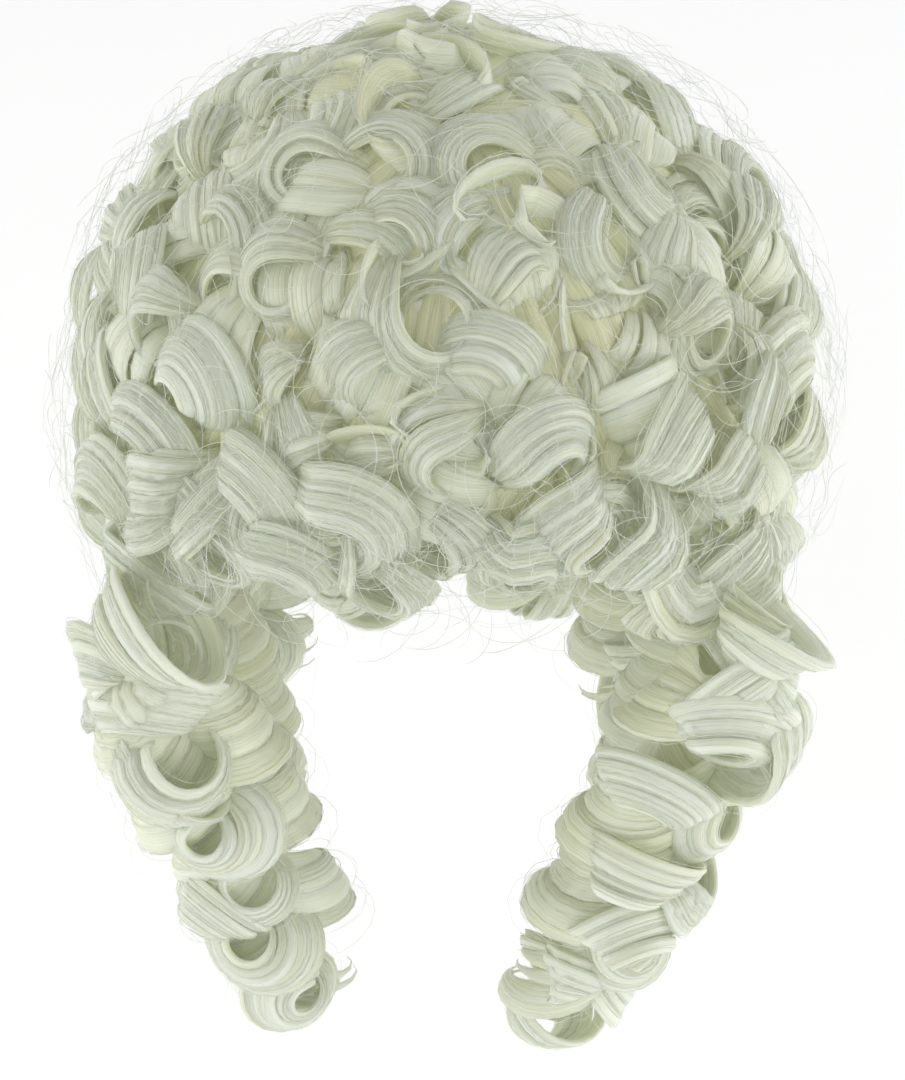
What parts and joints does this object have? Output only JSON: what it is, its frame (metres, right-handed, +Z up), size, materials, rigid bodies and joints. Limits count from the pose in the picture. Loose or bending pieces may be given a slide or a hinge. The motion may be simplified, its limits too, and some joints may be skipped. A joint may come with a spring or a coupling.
{
  "type": "costume wig",
  "caption": "Full curly white wig of ring curls with long hanging side and back locks on an open cap with ear tabs and nape adjusters.",
  "frame": {"origin": "the top of the inside of the cap, where the crown of a head touches it", "axes": "+Z up along the height, the wearer faces -Y, +X is on the viewer's right"},
  "size_m": [0.237, 0.2353, 0.335],
  "materials": {
    "curled_fibre": "silky white synthetic fibre with a faint green-cream tint",
    "cap_net": "soft stretch net",
    "cap_band": "soft brushed tape",
    "elastic": "woven elastic",
    "weft_tape": "machine-sewn weft",
    "label": "blank satin label",
    "stay_metal": "soft bare aluminium",
    "hook_plastic": "moulded plastic"
  },
  "bodies": {
    "cap": {"cap_net": "cap_net", "crown_patch": "cap_band", "front_band": "cap_band", "nape_band": "elastic", "back_elastic_left": "elastic", "back_elastic_centre": "elastic", "back_elastic_right": "elastic", "care_label": "label", "adjuster_loops_left": "elastic", "adjuster_loops_right": "elastic", "adjuster_strap_left": "elastic", "adjuster_strap_right": "elastic", "front_weft_1": "weft_tape", "front_weft_2": "weft_tape", "front_weft_3": "weft_tape", "back_weft_1": "weft_tape", "back_weft_2": "weft_tape", "back_weft_3": "weft_tape", "back_weft_4": "weft_tape", "back_weft_5": "weft_tape", "back_weft_6": "weft_tape", "back_weft_7": "weft_tape", "back_weft_8": "weft_tape", "crown_curls": "curled_fibre", "top_curls_front": "curled_fibre", "fringe_curls_middle": "curled_fibre", "top_curls_left": "curled_fibre", "top_curls_back_left": "curled_fibre", "fringe_curls_left": "curled_fibre", "temple_curls_left": "curled_fibre", "side_curls_left": "curled_fibre", "back_curls_left": "curled_fibre", "lower_side_curls_left": "curled_fibre", "nape_curls_left": "curled_fibre", "top_curls_right": "curled_fibre", "top_curls_back_right": "curled_fibre", "fringe_curls_right": "curled_fibre", "temple_curls_right": "curled_fibre", "side_curls_right": "curled_fibre", "back_curls_right": "curled_fibre", "lower_side_curls_right": "curled_fibre", "nape_curls_right": "curled_fibre"},
    "ear_tab_left": {"ear_tab_left": "cap_band", "ear_tab_stay_left": "stay_metal"},
    "adjuster_hook_left": {"adjuster_hook_left": "hook_plastic"},
    "ear_tab_right": {"ear_tab_right": "cap_band", "ear_tab_stay_right": "stay_metal"},
    "adjuster_hook_right": {"adjuster_hook_right": "hook_plastic"},
    "front_lock_left": {"front_lock_left": "curled_fibre"},
    "side_lock_left": {"side_lock_left": "curled_fibre"},
    "rear_side_lock_left": {"rear_side_lock_left": "curled_fibre"},
    "back_lock_left": {"back_lock_left": "curled_fibre"},
    "front_lock_right": {"front_lock_right": "curled_fibre"},
    "side_lock_right": {"side_lock_right": "curled_fibre"},
    "rear_side_lock_right": {"rear_side_lock_right": "curled_fibre"},
    "back_lock_right": {"back_lock_right": "curled_fibre"}
  },
  "joints": [
    {"name": "front_lock_left_swing", "type": "hinge", "parent": "cap", "child": "front_lock_left", "pos_m": [-0.06665, -0.09277, -0.149], "axis": [-1, 0, 0], "range_deg": [-3, 35]},
    {"name": "side_lock_left_swing", "type": "hinge", "parent": "cap", "child": "side_lock_left", "pos_m": [-0.0791, -0.02936, -0.185], "axis": [0, 1, 0], "range_deg": [-3, 28]},
    {"name": "rear_side_lock_left_swing", "type": "hinge", "parent": "cap", "child": "rear_side_lock_left", "pos_m": [-0.07459, 0.03547, -0.185], "axis": [0, 1, 0], "range_deg": [-3, 28]},
    {"name": "back_lock_left_swing", "type": "hinge", "parent": "cap", "child": "back_lock_left", "pos_m": [-0.03159, 0.08153, -0.194], "axis": [1, 0, 0], "range_deg": [-3, 28]},
    {"name": "front_lock_right_swing", "type": "hinge", "parent": "cap", "child": "front_lock_right", "pos_m": [0.06063, -0.09276, -0.149], "axis": [-1, 0, 0], "range_deg": [-3, 35]},
    {"name": "side_lock_right_swing", "type": "hinge", "parent": "cap", "child": "side_lock_right", "pos_m": [0.0791, -0.02936, -0.185], "axis": [0, -1, 0], "range_deg": [-3, 28]},
    {"name": "rear_side_lock_right_swing", "type": "hinge", "parent": "cap", "child": "rear_side_lock_right", "pos_m": [0.07459, 0.03547, -0.185], "axis": [0, -1, 0], "range_deg": [-3, 28]},
    {"name": "back_lock_right_swing", "type": "hinge", "parent": "cap", "child": "back_lock_right", "pos_m": [0.03159, 0.08153, -0.194], "axis": [1, 0, 0], "range_deg": [-3, 28]},
    {"name": "ear_tab_left_fold", "type": "hinge", "parent": "cap", "child": "ear_tab_left", "pos_m": [-0.07455, -0.03071, -0.09821], "axis": [0.2467, -0.9691, 0], "range_deg": [0, 60]},
    {"name": "adjuster_hook_left_slide", "type": "slide", "parent": "cap", "child": "adjuster_hook_left", "axis": [1, 0, 0], "range_m": [0, 0.018]},
    {"name": "ear_tab_right_fold", "type": "hinge", "parent": "cap", "child": "ear_tab_right", "pos_m": [0.07455, -0.03071, -0.09821], "axis": [0.2467, 0.9691, 0], "range_deg": [0, 60]},
    {"name": "adjuster_hook_right_slide", "type": "slide", "parent": "cap", "child": "adjuster_hook_right", "axis": [-1, 0, 0], "range_m": [0, 0.018]}
  ]
}
